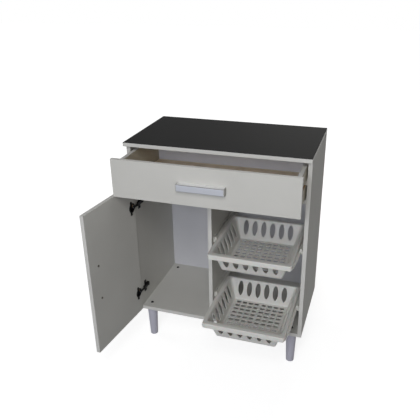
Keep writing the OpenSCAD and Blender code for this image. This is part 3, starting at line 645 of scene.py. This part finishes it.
def wall_loop(height, across=None, along=None):
    """The wall at that height. It leans in, and its corner radius shrinks towards the floor."""
    inset = -LEAN * height
    radius = MOUTH_CORNER + (CORNER_LOW - MOUTH_CORNER) * height / ROUND_START
    return loop(HALF_MOUTH - inset, MOUTH_FRONT + inset, MOUTH_BACK - inset, radius, height, across, along)


def mouth_loops():
    """A rounding from the rim into the wall: an arc of MOUTH_ROUND that turns down from level."""
    loops = []
    for a in MOUTH_TURN:
        grow = MOUTH_ROUND - MOUTH_ROUND * math.sin(a)
        height = -MOUTH_ROUND * (1 - math.cos(a))
        front, back = MOUTH_FRONT - grow, MOUTH_BACK + grow
        loops.append(loop(HALF_MOUTH + grow, front, back, MOUTH_CORNER + grow, height))
    return loops


def floor_loops():
    """Points on a circle of FLOOR_ROUND round a centre over the floor's edge, from the wall's tilt to
    straight down. The corner radius is what is left of the inset, so all corners end in a point."""
    loops = []
    for a in np.linspace(TILT, np.pi / 2, FLOOR_STEPS + 1)[1:-1]:
        inset = INSET_FLOOR - FLOOR_ROUND * math.cos(a)
        height = ROUND_MIDDLE - FLOOR_ROUND * math.sin(a)
        radius = INSET_FLOOR - inset
        loops.append(loop(HALF_MOUTH - inset, MOUTH_FRONT + inset, MOUTH_BACK - inset, radius, height))
    return loops


print(len(mouth_loops()), "loops at the mouth and", len(floor_loops()), "at the floor")

# %% [markdown]
# The slots are made by leaving the grid open there and filling the space between the grid and the slot with
# a patch of its own: each point of the patch lies between a point of the cell's border and a point of the
# slot's outline. So the sheet stays clean and the slot's outline is smooth.

# %% A patch between a cell's border and a slot's outline
PATCH_STEPS = (0.0, 0.45, 1.0)


def ring_quads(rings, count):
    """Quads between closed rings of count points."""
    j = np.arange(count)
    return np.concatenate([np.column_stack([i * count + j, i * count + (j + 1) % count,
                                            (i + 1) * count + (j + 1) % count, (i + 1) * count + j])
                           for i in range(rings - 1)])


def patch(border, hole):
    """(points, quads) of rings that go from the border to the hole: p = border + (hole - border) * t."""
    rings = np.concatenate([border + (hole - border) * t for t in PATCH_STEPS])
    return rings, ring_quads(len(PATCH_STEPS), len(border))


def border_path(rows, columns):
    """Row and column steps once round a cell, clockwise from the middle of its top."""
    half = columns // 2
    r = np.concatenate([np.zeros(half, int), np.arange(rows), np.full(columns, rows),
                        np.arange(rows, 0, -1), np.zeros(half, int)])
    c = np.concatenate([np.arange(half, columns), np.full(rows, columns), np.arange(columns, 0, -1),
                        np.zeros(rows, int), np.arange(half)])
    return r, c


def spread(stops, counts):
    """Places from stop to stop, each gap cut into its own count of steps."""
    runs = [np.linspace(a, b, n + 1)[:-1] for a, b, n in zip(stops[:-1], stops[1:], counts)]
    return np.concatenate(runs + [stops[-1:]])


print("a cell of 4 by 6 steps has", len(border_path(4, 6)[0]), "points on its border")

# %% [markdown]
# Six leaf slots stand in each wall. At the front and back they are 37 mm apart, and at the sides 39.5 mm.
# A leaf could be two arcs, but those meet in needle-sharp tips, which these slots don't have. So its half
# width follows a power that blunts the tips.

# %% The walls between the mouth and the floor, with their leaf slots
SLOTS = 6
LEAF_ROWS, LEAF_COLUMNS = 16, 6
LEAF_TOP, LEAF_LOW = -3.4, -69.0
LEAF_LONG, LEAF_WIDE, LEAF_MIDDLE = 62.0, 22.0, -37.0
LEAF_TAPER, LEAF_BLUNT = 2.2, 0.7
FRONT_PITCH, FRONT_REACH, SIDE_PITCH = 37.0, 109.0, 39.5
FRONT_END, SIDE_END = 6, 3
SIDE_MIDDLE = (MOUTH_FRONT + MOUTH_BACK) / 2
# how many pitches each slot's middle and each cell's border lie from the middle of the wall
slot_steps = np.arange(SLOTS) - (SLOTS - 1) / 2
cell_steps = np.arange(SLOTS + 1) - SLOTS / 2
FRONT_SLOTS = FRONT_PITCH * slot_steps
FRONT_CELLS = np.clip(FRONT_PITCH * cell_steps, -FRONT_REACH, FRONT_REACH)
SIDE_SLOTS = SIDE_MIDDLE + SIDE_PITCH * slot_steps
SIDE_CELLS = SIDE_MIDDLE + SIDE_PITCH * cell_steps


def slotted_rows():
    """Loops from LEAF_TOP to LEAF_LOW whose points stand on the cells' borders."""
    rows = []
    inner = [LEAF_COLUMNS] * SLOTS
    for height in np.linspace(LEAF_TOP, LEAF_LOW, LEAF_ROWS + 1):
        plain = wall_loop(height)
        end_x = plain[ALONG_FRONT, 0]
        first_y = plain[ALONG_FRONT + ALONG_CORNER, 1]
        last_y = plain[ALONG_FRONT + ALONG_CORNER + ALONG_SIDE, 1]
        across = spread(np.concatenate([[-end_x], FRONT_CELLS, [end_x]]), [FRONT_END] + inner + [FRONT_END])
        along = spread(np.concatenate([[first_y], SIDE_CELLS, [last_y]]), [SIDE_END] + inner + [SIDE_END])
        rows.append(wall_loop(height, across, along))
    return np.array(rows)


def leaf(count):
    """A leaf with blunt tips, as (sideways, upwards) offsets from its middle. At the share t of its half
    height its half width is the full one times (1 - |t|^2.2)^0.7."""
    turn = 2 * np.pi * np.arange(count) / count
    rise = np.cos(turn)
    side = np.sign(np.sin(turn)) * np.clip(1 - np.abs(rise) ** LEAF_TAPER, 0, 1) ** LEAF_BLUNT
    return side * LEAF_WIDE / 2, rise * LEAF_LONG / 2


def wall_cells():
    """(first column, middle of the slot, direction along the wall, direction in) for every slot."""
    right_side = ALONG_FRONT + ALONG_CORNER
    back_side = right_side + ALONG_SIDE + ALONG_CORNER
    left_side = back_side + ALONG_FRONT + ALONG_CORNER
    inset = -LEAN * LEAF_MIDDLE
    for k in range(SLOTS):
        column = FRONT_END + LEAF_COLUMNS * k
        yield column, (FRONT_SLOTS[k], MOUTH_FRONT + inset), (1, 0), (0, 1)
        yield back_side + column, (-FRONT_SLOTS[k], MOUTH_BACK - inset), (-1, 0), (0, -1)
    for k in range(SLOTS):
        column = SIDE_END + LEAF_COLUMNS * k
        yield right_side + column, (HALF_MOUTH - inset, SIDE_SLOTS[k]), (0, 1), (-1, 0)
        yield left_side + column, (-HALF_MOUTH + inset, SIDE_SLOTS[-1 - k]), (0, -1), (1, 0)


print(len(list(wall_cells())), "leaf slots in", len(slotted_rows()), "rows of points")

# %% [markdown]
# The floor has 8 columns and 9 rows of short slots with rounded corners, and a plain strip at the front. Its
# grid has the same points along its edges as the lowest loop of the wall, so the two weld without a gap.

# %% The floor with its short slots
# columns on each side of the middle, and lines from front to back
SLOT_COLUMNS, SLOT_LINES = 4, 9
SLOT_X, PITCH_X = 14.5, 25.5
SLOT_Y, PITCH_Y = 96.0, 25.0
SLOT_WIDE, SLOT_DEEP, SQUARENESS = 18.5, 14.0, 5
STRIP_ROWS, SLOT_ROWS, CELL_COLUMNS = 6, 4, 6
FLOOR_HALF = HALF_MOUTH - INSET_FLOOR
FLOOR_FRONT, FLOOR_BACK = MOUTH_FRONT + INSET_FLOOR, MOUTH_BACK - INSET_FLOOR
between = SLOT_X + PITCH_X * (np.arange(SLOT_COLUMNS - 1) + 0.5)
lines = SLOT_Y + PITCH_Y * (np.arange(SLOT_LINES) - 0.5)
FLOOR_X = spread(np.concatenate([[-FLOOR_HALF], -between[::-1], [0.0], between, [FLOOR_HALF]]),
                 [CELL_COLUMNS] * 2 * SLOT_COLUMNS)
FLOOR_Y = spread(np.concatenate([[FLOOR_FRONT], lines, [FLOOR_BACK]]),
                 [STRIP_ROWS] + [SLOT_ROWS] * SLOT_LINES)


def rounded_slot(border, middle):
    """The border's own directions, drawn in until the fifth powers of x and y, each as a share of the
    slot's half size, add up to 1."""
    low, high = border[:, :2].min(0), border[:, :2].max(0)
    unit = (border[:, :2] - (low + high) / 2) / ((high - low) / 2)
    unit /= (np.abs(unit) ** SQUARENESS).sum(1, keepdims=True) ** (1 / SQUARENESS)
    hole = border.copy()
    hole[:, :2] = middle + unit * [SLOT_WIDE / 2, SLOT_DEEP / 2]
    return hole


print("the floor's grid has", len(FLOOR_X), "by", len(FLOOR_Y), "points")


# %% Put the sheet together
def basket_sheet():
    """All points and faces of the sheet."""
    points, faces = [], []

    def take(new_points, new_faces):
        """Adds points and faces. Their numbers go on after the points that are there."""
        faces.append(new_faces + sum(len(p) for p in points))
        points.append(new_points)

    rows = slotted_rows()
    floor_edge = loop(FLOOR_HALF, FLOOR_FRONT, FLOOR_BACK, 0.0, FLOOR, FLOOR_X, FLOOR_Y)
    over = rim_loops() + mouth_loops() + [rows[0]]
    under = [rows[-1], wall_loop(ROUND_START)] + floor_loops() + [floor_edge]
    for stack in (over, under):
        take(np.concatenate(stack), ring_quads(len(stack), len(floor_edge)))

    # the slotted band of the wall: plain quads outside the cells, a patch in each cell
    count = rows.shape[1]
    plain = np.ones(count, bool)
    r, c = border_path(LEAF_ROWS, LEAF_COLUMNS)
    side, rise = leaf(len(r))
    for first, middle, sideways, inwards in wall_cells():
        plain[(first + np.arange(LEAF_COLUMNS)) % count] = False
        border = rows[r, (first + c) % count]
        xy = np.array(middle) + side[:, None] * sideways - LEAN * rise[:, None] * np.array(inwards)
        take(*patch(border, np.column_stack([xy, LEAF_MIDDLE + rise])))
    quads = ring_quads(len(rows), count).reshape(len(rows) - 1, count, 4)[:, plain].reshape(-1, 4)
    take(rows.reshape(-1, 3), quads)

    # the floor: a patch in each cell
    x, y = np.meshgrid(FLOOR_X, FLOOR_Y)
    grid = np.stack([x, y, np.full_like(x, FLOOR)], axis=-1)
    r, c = border_path(SLOT_ROWS, CELL_COLUMNS)
    for x0 in [s * (SLOT_X + PITCH_X * k) for s in (-1, 1) for k in range(SLOT_COLUMNS)]:
        column = CELL_COLUMNS * int(np.searchsorted(FLOOR_X[::CELL_COLUMNS], x0) - 1)
        for k in range(SLOT_LINES):
            border = grid[STRIP_ROWS + SLOT_ROWS * k + r, column + c]
            take(*patch(border, rounded_slot(border, (x0, SLOT_Y + PITCH_Y * k))))

    # the plain strip at the front
    strip = grid[:STRIP_ROWS + 1]
    wide = strip.shape[1]
    i, j = (a.ravel() for a in np.meshgrid(np.arange(STRIP_ROWS), np.arange(wide - 1), indexing="ij"))
    near, far = i * wide + j, (i + 1) * wide + j
    take(strip.reshape(-1, 3), np.column_stack([near, near + 1, far + 1, far]))
    return np.concatenate(points), np.concatenate(faces)


print("the sheet has", len(basket_sheet()[1]), "faces before its points are welded")

# %% [markdown]
# The sheet is welded, its faces are turned so that they look into the basket and up, and Solidify adds the
# wall on the other side. A small bevel takes the knife edge off every slot.

# %% Make the two baskets
SHEET_WELD, SLIVER = 0.01, 0.001
SLOT_EDGE, SLOT_CORNER = 0.5, math.radians(50)
# floor faces are told by their normal and by lying this far below the rim
LEVEL, FLOOR_BELOW = 0.99, 80.0


def make_basket(node):
    """The moulded basket in the space of its node. Returns its count of faces before it has a wall."""
    low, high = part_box(node)
    points, faces = basket_sheet()
    points = points * MM + np.array([(low.x + high.x) / 2, low.y, high.z])
    mesh = bpy.data.meshes.new(node + "_moulded")
    mesh.from_pydata(points.tolist(), [], faces.tolist())
    work = bmesh.new()
    work.from_mesh(mesh)
    bmesh.ops.remove_doubles(work, verts=work.verts, dist=SHEET_WELD * MM)
    bmesh.ops.dissolve_degenerate(work, dist=SLIVER * MM, edges=work.edges)
    bmesh.ops.recalc_face_normals(work, faces=work.faces)
    below = high.z - FLOOR_BELOW * MM
    floor_faces = [f for f in work.faces if abs(f.normal.z) > LEVEL and f.calc_center_median().z < below]
    if sum(f.normal.z * f.calc_area() for f in floor_faces) < 0:
        bmesh.ops.reverse_faces(work, faces=work.faces)
    work.to_mesh(mesh)
    work.free()
    mesh.shade_smooth()
    mesh.materials.append(basket_plastic)
    piece = bpy.data.objects.new(node + "_moulded", mesh)
    bpy.context.collection.objects.link(piece)
    wall = piece.modifiers.new("wall", "SOLIDIFY")
    wall.thickness = WALL * MM
    wall.offset = -1.0
    roll_edges(piece, "moulded edges", SLOT_EDGE, SLOT_CORNER, clamp=True)
    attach(piece, node)
    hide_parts(node)
    return len(mesh.polygons)


for basket in ("upper_basket", "lower_basket"):
    print(basket, make_basket(basket), "faces before its wall")

# %% [markdown]
# ## Floor, background and light
#
# The picture has a white background with no visible horizon. More light would whiten the floor, but it
# would bleach the cabinet too. So the floor's own material does it: a grey diffuse part takes the
# cabinet's shadow, and a glow that only the camera and reflections see lifts it to white. Near the cabinet
# the glow is a little weaker, so that the shadow shows there, and a metre away it reaches full white.

# %% Floor
# its half width, in metres
FLOOR_REACH = 12.0
corners = [(x * FLOOR_REACH, y * FLOOR_REACH, 0.0) for x, y in ((-1, -1), (1, -1), (1, 1), (-1, 1))]
floor_mesh = bpy.data.meshes.new("floor")
floor_mesh.from_pydata(corners, [], [(0, 1, 2, 3)])
floor = bpy.data.objects.new("floor", floor_mesh)
bpy.context.collection.objects.link(floor)
print("floor of", 2 * FLOOR_REACH, "m")

# %% The floor's shadow and glow
# the distances of the two levels of glow are in metres from the middle of the cabinet
GLOW_NEAR, GLOW_FAR = 0.84, 1.0
NEAR_AT, FAR_AT = 0.4, 1.4
FLOOR_GREY = 0.35


def seen_directly(tree):
    """1 for rays from the camera and for mirrored or bent rays, 0 for the rays that light the object."""
    ray = add(tree, "ShaderNodeLightPath")
    bent = add(tree, "ShaderNodeMath", {"operation": "MAXIMUM"},
               {0: ray.outputs["Is Glossy Ray"], 1: ray.outputs["Is Transmission Ray"]})
    return add(tree, "ShaderNodeMath", {"operation": "MAXIMUM"},
               {0: ray.outputs["Is Camera Ray"], 1: bent.outputs[0]}).outputs[0]


paper = bpy.data.materials.new("white_floor")
paper.use_nodes = True
tree = paper.node_tree
tree.nodes.clear()
middle = [-(a + b) / 2 for a, b in zip(*cad_bounds)]
place = add(tree, "ShaderNodeTexCoord").outputs["Object"]
centred = add(tree, "ShaderNodeMapping", inputs={"Vector": place, "Location": (middle[0], middle[1], 0.0)})
away = add(tree, "ShaderNodeVectorMath", {"operation": "LENGTH"}, {0: centred.outputs[0]})
level = add(tree, "ShaderNodeMapRange", {"interpolation_type": "SMOOTHSTEP"},
            {"Value": away.outputs["Value"], "From Min": NEAR_AT, "From Max": FAR_AT,
             "To Min": GLOW_NEAR, "To Max": GLOW_FAR})
strength = add(tree, "ShaderNodeMath", {"operation": "MULTIPLY"},
               {0: seen_directly(tree), 1: level.outputs[0]})
glow = add(tree, "ShaderNodeEmission", inputs={"Strength": strength.outputs[0]})
diffuse = add(tree, "ShaderNodeBsdfDiffuse", inputs={"Color": (FLOOR_GREY, FLOOR_GREY, FLOOR_GREY, 1.0)})
both = add(tree, "ShaderNodeAddShader", inputs={0: diffuse.outputs[0], 1: glow.outputs[0]})
add(tree, "ShaderNodeOutputMaterial", inputs={"Surface": both.outputs[0]})
floor_mesh.materials.append(paper)
print("floor glows from", GLOW_NEAR, "to", GLOW_FAR)

# %% [markdown]
# The photograph's shadows are soft. An image of a room could light the cabinet, but its parts can't be
# moved one by one, so square area lights stand in for windows. Four stand behind the camera: one high up,
# one on its left, a weak one far to the left and a low one whose light reaches into the bays. A weak warm
# one on the right lights the faces that look to the right. One behind the cabinet gives the dark top its
# sheen, and one beside it lights the left side, which this view doesn't show. The even light from all
# round is faint, so the corners under the drawer stay dark.

# %% Background and even light
AMBIENT = 0.05
SKY, WHITE = (0.98, 0.99, 1.0, 1.0), (1.0, 1.0, 1.0, 1.0)
world = bpy.data.worlds.new("studio")
bpy.context.scene.world = world
world.use_nodes = True
tree = world.node_tree
tree.nodes.clear()
room = add(tree, "ShaderNodeBackground", inputs={"Color": SKY, "Strength": AMBIENT})
white = add(tree, "ShaderNodeBackground", inputs={"Color": WHITE, "Strength": 1.0})
pick = add(tree, "ShaderNodeMixShader",
           inputs={0: seen_directly(tree), 1: room.outputs[0], 2: white.outputs[0]})
add(tree, "ShaderNodeOutputWorld", inputs={"Surface": pick.outputs[0]})
print("even light of", AMBIENT)

# %% Windows
# every window looks at the middle of the cabinet; places and sizes are in metres
AIM = Vector((0.3, 0.1, 0.5))
COOL, WARM, EVEN = (0.95, 0.98, 1.05), (1.0, 0.95, 0.86), (1.0, 0.99, 0.97)


def window(name, at, watts, colour, size):
    """A square area light that looks at AIM."""
    lamp = bpy.data.lights.new(name, "AREA")
    lamp.size = size
    lamp.energy = watts
    lamp.color = colour
    lamp_object = bpy.data.objects.new(name, lamp)
    lamp_object.location = at
    lamp_object.rotation_euler = (AIM - Vector(at)).to_track_quat("-Z", "Y").to_euler()
    bpy.context.collection.objects.link(lamp_object)


window("window_high", at=(0.8, -2.2, 2.6), watts=25.0, colour=EVEN, size=0.8)
window("window_left", at=(0.3, -3.0, 2.0), watts=22.0, colour=COOL, size=0.8)
window("window_far_left", at=(-1.2, -3.0, 1.9), watts=5.0, colour=EVEN, size=1.0)
window("window_low", at=(0.55, -3.2, 0.9), watts=17.0, colour=COOL, size=1.0)
window("window_right", at=(2.4, -2.6, 0.7), watts=4.5, colour=WARM, size=1.0)
window("window_back", at=(0.55, 3.2, 2.2), watts=25.0, colour=EVEN, size=1.6)
window("window_side", at=(-3.2, 0.6, 1.8), watts=20.0, colour=EVEN, size=1.6)
bpy.context.scene.view_settings.view_transform = "Standard"
print(len(bpy.data.lights), "windows")
